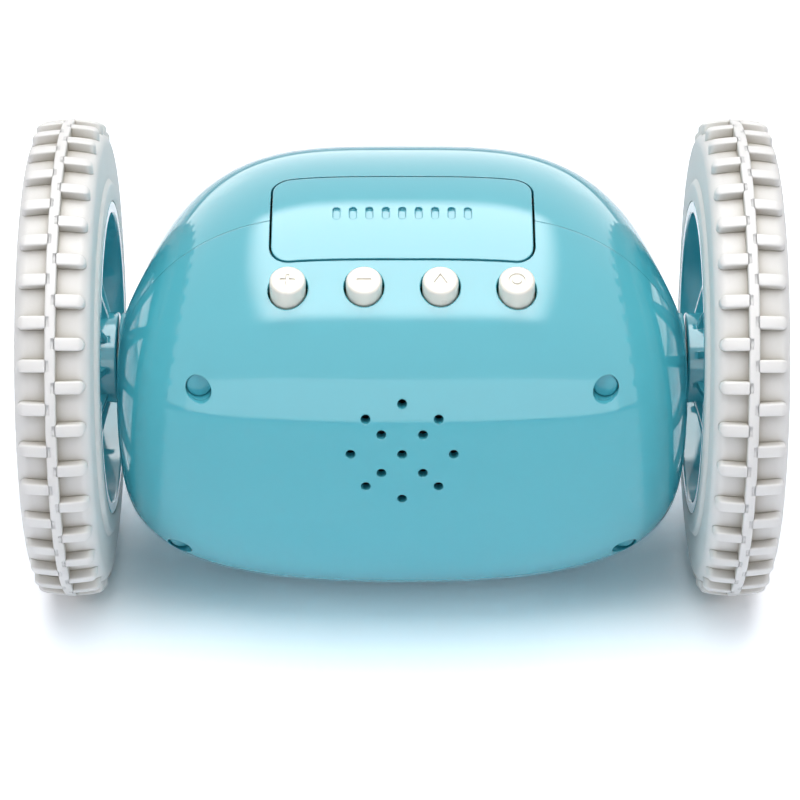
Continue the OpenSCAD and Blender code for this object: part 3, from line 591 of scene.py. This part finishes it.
def plug_top(x, y):
    """Height of a recess's plug, a little below the lowest point of the recess's rim."""
    rim = [math.radians(a) for a in range(0, 360, 45)]
    r = RECESS_D / 2
    return min(skin_height(x + r * math.cos(a), y + r * math.sin(a), 0) for a in rim) - PLUG_INSET


def rear_shell():
    shell = shell_half(False)
    holes = [rod(BUTTON_D + 2 * BUTTON_GAP, 28, FAR, set_button_frame(i)) for i in range(4)]
    holes += [rod(GRILLE_D, 30, FAR, place, 32) for place in grille_frames()]
    carve(shell, "DIFFERENCE", holes)
    for x, y in (UPPER_SCREW, LOWER_SCREW):
        floor = plug_top(x, y) - PLUG_T - TOUCH - SCREW_HEAD_T
        for side in (-1, 1):
            boss = as_object(rod(7.4, -SEAM_Y, FAR, facing(0, side * x, y)))
            carve(boss, "INTERSECT", body_form(WALL / 2, 96, 60))
            carve(shell, "UNION", boss)
            carve(shell, "DIFFERENCE", rod(RECESS_D, floor, FAR, facing(0, side * x, y)))
    return finish_piece(shell, "rear_shell_skin", "body", "shell_plastic", ["rear_shell"], True)


front_shell()
rear_shell()

# %% [markdown]
# ## Snooze bar
# The bar is a wide key cut from the same skin, with a row of shallow pill-shaped marks along
# its middle for the finger to find in the dark. It is thinner than the shells, and two posts
# below it run in the body.

# %% Snooze bar
MARKS, MARK_PITCH, MARK_SIZE, MARK_DEPTH = 9, 2.9, (1.3, 2.9, 0.6), 0.7


def snooze_bar():
    width, height, corner = SNOOZE
    place = facing(PRESS_DIR, 0, SNOOZE_Y)
    bar = as_object(body_form(0))
    carve(bar, "DIFFERENCE", body_form(WALL + 0.6, 96, 60))
    carve(bar, "INTERSECT", block(width, height, corner, 28, FAR, place))
    floor = skin_height(0, SNOOZE_Y, PRESS_DIR) - MARK_DEPTH
    marks = [block(*MARK_SIZE, floor, FAR,
        facing(PRESS_DIR, (i - MARKS // 2) * MARK_PITCH, SNOOZE_Y), 6) for i in range(MARKS)]
    carve(bar, "DIFFERENCE", marks)
    for x in (-16, 16):
        carve(bar, "UNION", rod(3, 29.6, 37, facing(PRESS_DIR, x, SNOOZE_Y), 32))
    return finish_piece(bar, "snooze_bar_skin", "snooze_bar", "shell_plastic", ["snooze_bar"], True)


snooze_bar()

# %% [markdown]
# ## Window and battery door
# Both are patches of the skin as well. The window is clear and shows the display panel. The
# door has a round tab for its screw.

# %% Window and door
def patch(outlines, thickness):
    """Piece of the skin of that thickness inside the outlines."""
    piece = as_object(body_form(0))
    carve(piece, "DIFFERENCE", body_form(thickness, 120, 80))
    return carve(piece, "INTERSECT", outlines)


def window():
    width, height, corner = LENS_SIZE
    piece = patch(block(width, height, corner, 26, FAR, facing(DISPLAY_DIR)), 1.6)
    return finish_piece(piece, "window", "body", "clear_lens", ["display_lens"], True)


def battery_door():
    piece = patch(united(door_tool(0)), WALL)
    place = facing(BAY_DIR, DOOR_TAB_X)
    carve(piece, "UNION", rod(DOOR_TAB_D - 2, 34.9, 37.6, place))
    carve(piece, "DIFFERENCE", rod(2.6, 20, FAR, place, 32))
    carve(piece, "DIFFERENCE", rod(4.6, 36.6, FAR, place))
    return finish_piece(piece, "battery_door_skin", "battery_door", "shell_plastic",
        ["battery_door"], True)


window()
battery_door()

# %% [markdown]
# ## Turned forms
# Buttons, hubs, tyres and caps are round. Each starts as the flat outline of half its
# section, one face whose corners are rounded by a vertex bevel. The face is taken away, and
# the outline is spun round the local Z axis.

# %% Turned forms
def turned(outline, steps, rounding=(), place=None):
    """Spins a closed outline of (radius, height) points. Rounding lists (radius, points)."""
    bm = bmesh.new()
    corners = [bm.verts.new((r, 0, h)) for r, h in outline]
    bm.faces.new(corners)
    for radius, which in rounding:
        bmesh.ops.bevel(bm, geom=[corners[i] for i in which], offset=radius,
            offset_type="OFFSET", affect="VERTICES", segments=4, profile=0.5, material=-1)
    bmesh.ops.delete(bm, geom=bm.faces[:], context="FACES_ONLY")
    bmesh.ops.spin(bm, geom=bm.verts[:] + bm.edges[:], cent=(0, 0, 0), axis=(0, 0, 1),
        angle=2 * math.pi, steps=steps, use_merge=True)
    bmesh.ops.remove_doubles(bm, verts=bm.verts[:], dist=1e-4)
    flat = [f for f in bm.faces if f.calc_area() < 1e-9]
    bmesh.ops.delete(bm, geom=flat, context="FACES")
    bmesh.ops.recalc_face_normals(bm, faces=bm.faces[:])
    bmesh.ops.transform(bm, matrix=place or Matrix(), verts=bm.verts[:])
    return bm


# %% [markdown]
# ## Set buttons
# Four small round keys behind the bar, moulded in ivory. Each has a generic symbol sunk into
# its top: a plus, a minus, a triangle for the alarm and a ring for the clock. The real
# key's edge is well rounded, so the outline's corner gets a fat bevel.

# %% Set buttons
BUTTON_PROUD = 2.1
BUTTON_BASE = 31.05
SYMBOL_DEPTH = 0.25


def symbol(kind, place, low):
    if kind == "minus":
        return [block(2.6, 0.55, 0.2, low, FAR, place, 3)]
    if kind == "plus":
        return [block(2.6, 0.55, 0.2, low, FAR, place, 3), block(0.55, 2.6, 0.2, low, FAR, place, 3)]
    if kind == "triangle":
        return [rod(2.8, low, FAR, place, 3)]
    ring = [(0.85, low), (1.4, low), (1.4, FAR), (0.85, FAR)]
    return [turned(ring, 48, place=place)]


def set_button(i, name, kind):
    place = set_button_frame(i)
    top = skin_height(BUTTON_PITCH, BUTTON_Y, PRESS_DIR) + BUTTON_PROUD
    r = BUTTON_D / 2
    outline = [(0, BUTTON_BASE), (r + 0.8, BUTTON_BASE), (r + 0.8, BUTTON_BASE + 0.8),
        (r, BUTTON_BASE + 0.8), (r, top), (0, top)]
    key = as_object(turned(outline, 64, [(0.55, [4]), (0.15, [2])], place))
    carve(key, "DIFFERENCE", united(symbol(kind, place, top - SYMBOL_DEPTH)))
    return finish_piece(key, name + "_key", name, "button_plastic", [name])


for i, (name, kind) in enumerate([("plus_button", "plus"), ("minus_button", "minus"),
        ("alarm_button", "triangle"), ("clock_button", "ring")]):
    set_button(i, name, kind)

# %% [markdown]
# ## Screw plugs
# A flat plug with an eased edge hides each shell screw at the bottom of its recess.

# %% Screw plugs
PLUG_D = 4.3


def screw_plugs():
    plugs = []
    for x, y in (UPPER_SCREW, LOWER_SCREW):
        top = plug_top(x, y)
        outline = [(0, top - PLUG_T), (PLUG_D / 2, top - PLUG_T), (PLUG_D / 2, top), (0, top)]
        plugs += [turned(outline, 48, [(0.2, [2])], facing(0, side * x, y)) for side in (-1, 1)]
    return finish_piece(as_object(plugs), "screw_plug_discs", "body", "shell_plastic",
        ["screw_plugs"])


screw_plugs()

# %% [markdown]
# ## Front buttons
# Two larger round keys sit over the display like eyes. They are of the same ivory plastic.

# %% Front buttons
EYE_PROUD = 0.8
EYE_BASE = 32.25


def front_button(side, name):
    place = facing(EYE_DIR, side * EYE_PITCH / 2)
    top = skin_height(EYE_PITCH / 2, 0, EYE_DIR) + EYE_PROUD
    r = EYE_D / 2
    outline = [(0, EYE_BASE - 0.2), (2, EYE_BASE - 0.2), (2, EYE_BASE), (r + 1, EYE_BASE),
        (r + 1, EYE_BASE + 0.8), (r, EYE_BASE + 0.8), (r, top), (0, top)]
    key = as_object(turned(outline, 72, [(0.7, [6]), (0.15, [4])], place))
    return finish_piece(key, name + "_key", name, "button_plastic", [name])


for side, name in ((-1, "left_front_button"), (1, "right_front_button")):
    front_button(side, name)

# %% [markdown]
# ## Hubs
# Each hub is one moulding in the body's colour: a wide rim that carries the tyre, a web with
# nine windows, thin ribs in its inner dish and a collar that meets the body's own. The rim,
# the web and the collar are one turned outline. The windows are cut from the web, and the
# ribs are blocks whose outer edge slants down to the rim.

# %% Hub sizes
TYRE_X, TYRE_W, WHEEL_D, TREAD_H = 54.2, 13.3, 88.0, 1.8
RIM_R, RIM_WALL, RIM_LIP_X = 29.0, 2.2, 53.5
COLLAR_X, WEB_X, WEB_T = 52.3, 60.85, 2.0
HUB_FACE_X, HUB_END_X = 65.3, 66.45
AXLE_D = 3.0
SPOKES, SPOKE_W, RIB_T = 9, 3.0, 1.2


def hub_window(i, place):
    """Cutting form between two spokes: a block whose outer end is widened."""
    inner, outer = COLLAR_D / 2 + 3, RIM_R - RIM_WALL - 2
    bm = block(outer - inner, 2, 0, WEB_X - 1, WEB_X + WEB_T + 1,
        Matrix.Translation(((inner + outer) / 2, 0, 0)))
    for v in bm.verts:
        v.co.y *= v.co.x * math.tan(math.pi / SPOKES) - SPOKE_W / 2
    upright = [e for e in bm.edges if abs(e.verts[0].co.z - e.verts[1].co.z) > 0.1]
    bmesh.ops.bevel(bm, geom=upright, offset=1.0, offset_type="OFFSET", affect="EDGES",
        segments=6, profile=0.5, material=-1)
    turn = Matrix.Rotation(2 * math.pi * (i + 0.5) / SPOKES, 4, "Z")
    bmesh.ops.transform(bm, matrix=place @ turn, verts=bm.verts)
    return bm


def hub_rib(i, place):
    """Thin rib on a spoke, tall at the collar and low at the rim."""
    inner, outer = COLLAR_D / 2 - 1, RIM_R - RIM_WALL + 1
    bm = block(outer - inner, RIB_T, 0, COLLAR_X + 1.5, WEB_X + 1,
        Matrix.Translation(((inner + outer) / 2, 0, 0)))
    for v in bm.verts:
        if v.co.x > (inner + outer) / 2 and v.co.z < WEB_X:
            v.co.z = WEB_X - 1.4
    turn = Matrix.Rotation(2 * math.pi * i / SPOKES, 4, "Z")
    bmesh.ops.transform(bm, matrix=place @ turn, verts=bm.verts)
    return bm


# %% Hubs
def wheel_hub(side, name):
    place = along_axle(side)
    collar, inside = COLLAR_D / 2, RIM_R - RIM_WALL
    outline = [(AXLE_D / 2, COLLAR_X), (collar, COLLAR_X), (collar, WEB_X), (inside, WEB_X),
        (inside, RIM_LIP_X), (RIM_R, RIM_LIP_X), (RIM_R, HUB_FACE_X), (inside, HUB_FACE_X),
        (inside, WEB_X + WEB_T), (AXLE_D / 2, WEB_X + WEB_T)]
    hub = as_object(turned(outline, 160, [(0.35, [1, 4, 5, 6, 7]), (0.8, [2, 3, 8])], place))
    carve(hub, "DIFFERENCE", [hub_window(i, place) for i in range(SPOKES)])
    for i in range(SPOKES):
        carve(hub, "UNION", hub_rib(i, place))
    return finish_piece(hub, name + "_moulding", name.replace("_hub", ""), "shell_plastic", [name])


def hub_cap(side, name):
    r = COLLAR_D / 2 + 0.6
    outline = [(0, HUB_END_X - 1.2), (r - 1.5, HUB_END_X - 1.2), (r - 1.5, WEB_X + WEB_T),
        (r, WEB_X + WEB_T), (r, HUB_END_X), (0, HUB_END_X)]
    cap = as_object(turned(outline, 96, [(0.6, [4])], along_axle(side)))
    return finish_piece(cap, name + "_moulding", name.replace("hub_cap", "wheel"),
        "shell_plastic", [name])


for side, where in ((-1, "left"), (1, "right")):
    wheel_hub(side, where + "_wheel_hub")
    hub_cap(side, where + "_hub_cap")

# %% [markdown]
# ## Tyres
# A tyre is a fat turned ring with a slightly domed crown and round shoulders. A rib runs
# round its middle, and staggered bars with round ends run out from the rib on both sides.
# One bar is modelled flat as a block with rounded edges. It is cut across in a few places,
# and each of its vertices is then set to the height of the crown under it, so that the bar
# dips over the shoulder as the real one does. Copies of it are turned round the axle.

# %% Tyre section
BARS, BAR_W, BAR_LEN, RIB_W = 36, 2.3, 5.9, 1.9
CROWN_R = WHEEL_D / 2 - TREAD_H
DOME_R, SHOULDER_R, BEAD = 24.0, 2.6, 0.7


def crown(u):
    """Radius of the tyre's bare surface at the distance u from its inner side."""
    u = min(u, TYRE_W - u)
    if u < SHOULDER_R:
        over = SHOULDER_R - max(u, 0)
        return crown(SHOULDER_R) - SHOULDER_R + math.sqrt(SHOULDER_R**2 - over**2)
    return CROWN_R - DOME_R + math.sqrt(DOME_R**2 - (u - TYRE_W / 2) ** 2)


def tyre_outline():
    low = crown(0)
    side = [(RIM_R, -BEAD), (RIM_R + 3.2, -BEAD), (RIM_R + 4, 0), (low, 0)]
    shoulder = [SHOULDER_R * (1 - math.cos(math.radians(a))) for a in range(10, 90, 10)]
    dome = [SHOULDER_R + (TYRE_W - 2 * SHOULDER_R) * i / 12 for i in range(13)]
    across = shoulder + dome + [TYRE_W - u for u in reversed(shoulder)]
    return side + [(crown(u), u) for u in across] + [(low, TYRE_W), (RIM_R + 2, TYRE_W),
        (RIM_R, TYRE_W - 1.6)]


# %% Tread bar and tyres
def tread_bar(way):
    """Bar at the angle 0 whose X is the radius and Z the distance from the inner side."""
    sunk, start = 1.0, 0.2
    bm = block(BAR_LEN - start, BAR_W, 0, 0, sunk + TREAD_H,
        Matrix.Translation(((BAR_LEN + start) / 2, 0, 0)))
    tip = [e for e in bm.edges if min(v.co.x for v in e.verts) > BAR_LEN - 0.1
        and abs(e.verts[0].co.z - e.verts[1].co.z) > 0.1]
    bmesh.ops.bevel(bm, geom=tip, offset=BAR_W / 2 - 0.02, offset_type="OFFSET", affect="EDGES",
        segments=8, profile=0.5, material=-1)
    top = [e for e in bm.edges if min(v.co.z for v in e.verts) > 0.9 * (sunk + TREAD_H)
        and max(v.co.x for v in e.verts) > start + 0.1]
    bmesh.ops.bevel(bm, geom=top, offset=0.35, offset_type="OFFSET", affect="EDGES",
        segments=3, profile=0.5, material=-1)
    for cut in (1.2, 2.2, 3.2, 4.2, 4.8, 5.3):
        bmesh.ops.bisect_plane(bm, geom=bm.verts[:] + bm.edges[:] + bm.faces[:],
            plane_co=(cut, 0, 0), plane_no=(1, 0, 0))
    for v in bm.verts:
        out, across, height = v.co
        u = TYRE_W / 2 + way * out
        v.co = (crown(u) + height - sunk, across, u)
    bmesh.ops.recalc_face_normals(bm, faces=bm.faces[:])
    return bm


def tyre(side, name):
    place = along_axle(side) @ Matrix.Translation((0, 0, TYRE_X))
    casing = turned(tyre_outline(), 180, [(0.4, [1])], place)
    top = CROWN_R + TREAD_H + 0.03
    middle = TYRE_W / 2
    rib = [(CROWN_R - 1, middle - RIB_W / 2), (top, middle - RIB_W / 2),
        (top, middle + RIB_W / 2), (CROWN_R - 1, middle + RIB_W / 2)]
    forms = [casing, turned(rib, 180, [(0.35, [1, 2])], place)]
    for way in (-1, 1):
        for i in range(BARS):
            bar = tread_bar(way)
            turn = Matrix.Rotation(2 * math.pi * (i + (way > 0) * 0.5) / BARS, 4, "Z")
            bmesh.ops.transform(bar, matrix=place @ turn, verts=bar.verts)
            forms.append(bar)
    made = as_object(forms)
    return finish_piece(made, name + "_rubber", name.replace("tyre", "wheel"), "tyre_rubber", [name])


tyre(-1, "left_tyre")
tyre(1, "right_tyre")

# %% [markdown]
# ## Studio
# The photograph is a high-key product shot: white ground, white backdrop and one large soft box
# overhead. What the lamps give and what the gloss mirrors are set apart here, as a photographer does
# with flags and cards. The lamps light the clock at a level at which a colour renders about as it is
# written. The cards only show in reflections: the box overhead, whose front edge draws the pale field
# round the bar and the buttons, two glowing walls in front of the clock and two strips behind.

# %% World
scene = bpy.context.scene
scene.view_settings.view_transform = "Standard"
world = bpy.data.worlds.new("backdrop")
scene.world = world
world.use_nodes = True
sky = world.node_tree
ambient = sky.nodes["Background"]
ambient.inputs["Color"].default_value = colour("e4ecff")
ambient.inputs["Strength"].default_value = 0.22
seen = add(sky, "ShaderNodeBackground", {"Color": (1, 1, 1, 1), "Strength": 2.2})
rays = add(sky, "ShaderNodeLightPath")
direct = add(sky, "ShaderNodeMath", {0: rays.outputs["Is Camera Ray"],
    1: rays.outputs["Is Transmission Ray"]}, operation="MAXIMUM")
any_seen = add(sky, "ShaderNodeMath", {0: direct.outputs[0],
    1: rays.outputs["Is Glossy Ray"]}, operation="MAXIMUM")
choose = add(sky, "ShaderNodeMixShader", {0: any_seen.outputs[0], 1: ambient.outputs[0],
    2: seen.outputs[0]})
sky.links.new(choose.outputs[0], sky.nodes["World Output"].inputs["Surface"])


# %% Floor
def floor():
    bm = bmesh.new()
    bmesh.ops.create_grid(bm, x_segments=1, y_segments=1, size=6)
    made = as_object(bm, "floor")
    material, tree, shader, where = new_material("white_paper")
    grain = add(tree, "ShaderNodeTexNoise", {"Vector": where, "Scale": per_mm(60), "Detail": 2.0})
    tone = add(tree, "ShaderNodeMix", data_type="RGBA", blend_type="MIX")
    tree.links.new(grain.outputs["Fac"], tone.inputs["Factor"])
    tone.inputs["A"].default_value = colour("f6f8ff")
    tone.inputs["B"].default_value = colour("f1f4fc")
    tree.links.new(tone.outputs["Result"], shader.inputs["Base Color"])
    shader.inputs["Roughness"].default_value = 0.5
    rays = add(tree, "ShaderNodeLightPath")
    last = shader.outputs[0]
    for ray, white in (("Is Glossy Ray", 1.3), ("Is Camera Ray", 1.45)):
        paper = add(tree, "ShaderNodeBsdfDiffuse", {"Color": (white, white * 1.01, white * 1.03, 1)})
        glow = add(tree, "ShaderNodeEmission", {"Color": (1, 1, 1, 1), "Strength": 0.04})
        both = add(tree, "ShaderNodeAddShader", {0: paper.outputs[0], 1: glow.outputs[0]})
        last = add(tree, "ShaderNodeMixShader", {0: rays.outputs[ray], 1: last,
            2: both.outputs[0]}).outputs[0]
    tree.links.new(last, tree.nodes["Material Output"].inputs["Surface"])
    made.data.materials.append(material)


floor()


# %% Lamps
def aimed(place):
    """Turn that faces the clock from the place."""
    return (AXLE - Vector(place)).to_track_quat("-Z", "Y").to_euler()


def soft_box(name, place, width, height, power, tint="ffffff"):
    """Rectangular lamp that faces the clock and doesn't show in its gloss."""
    lamp = bpy.data.lights.new(name, "AREA")
    lamp.shape, lamp.size, lamp.size_y = "RECTANGLE", width, height
    lamp.energy, lamp.color = power, colour(tint)[:3]
    made = bpy.data.objects.new(name, lamp)
    made.location, made.rotation_euler = place, aimed(place)
    made.visible_glossy = False
    scene.collection.objects.link(made)


soft_box("overhead", (0, -0.1, 1.0), 0.96, 1.2, 9.6)
soft_box("left_box", (-0.9, -0.7, 0.6), 0.4, 0.7, 2.4)
soft_box("right_box", (0.9, -0.7, 0.6), 0.4, 0.7, 2.4)


# %% Cards that show only in the gloss
def card(name, place, turn, width, height, strength, soft=0.1):
    """Glowing sheet with soft edges. Its material reads its own width and height."""
    bm = bmesh.new()
    bmesh.ops.create_grid(bm, x_segments=1, y_segments=1, size=0.5,
        matrix=Matrix.Diagonal((width, height, 1, 1)))
    made = as_object(bm, name)
    made.location, made.rotation_euler = place, turn
    material, tree, shader, where = new_material(name + "_glow")
    parts = add(tree, "ShaderNodeSeparateXYZ", {0: where})
    fades = []
    for axis, size in (("X", width), ("Y", height)):
        off = add(tree, "ShaderNodeMath", {0: parts.outputs[axis]}, operation="ABSOLUTE")
        fades.append(add(tree, "ShaderNodeMapRange", {"Value": off.outputs[0],
            "From Min": size / 2 - soft, "From Max": size / 2, "To Min": 1.0, "To Max": 0.0},
            interpolation_type="SMOOTHSTEP"))
    fade = add(tree, "ShaderNodeMath", {0: fades[0].outputs["Result"],
        1: fades[1].outputs["Result"]}, operation="MULTIPLY")
    glow = add(tree, "ShaderNodeEmission", {"Color": (1, 1, 1, 1), "Strength": strength})
    clear = add(tree, "ShaderNodeBsdfTransparent")
    faded = add(tree, "ShaderNodeMixShader", {0: fade.outputs[0], 1: clear.outputs[0],
        2: glow.outputs[0]})
    tree.links.new(faded.outputs[0], tree.nodes["Material Output"].inputs["Surface"])
    made.data.materials.append(material)
    made.visible_camera = made.visible_diffuse = made.visible_transmission = False
    made.visible_shadow = made.visible_volume_scatter = False


upright = (math.radians(90), 0, 0)
card("overhead_card", (0, -0.1, 1.0), (0, 0, 0), 1.04, 1.44, 9.0, 0.18)
card("front_wall", (0, -1.6, 1.35), upright, 5.0, 1.62, 2.1, 0.02)
card("front_low_wall", (0, -1.58, 0.3), upright, 3.6, 0.74, 3.4, 0.05)
for side in (-1, 1):
    strip = Vector((side * 0.72, 1.9, 0.42))
    card("strip_%d" % (side + 1), strip, aimed(strip), 0.3, 0.5, 2.4, 0.04)
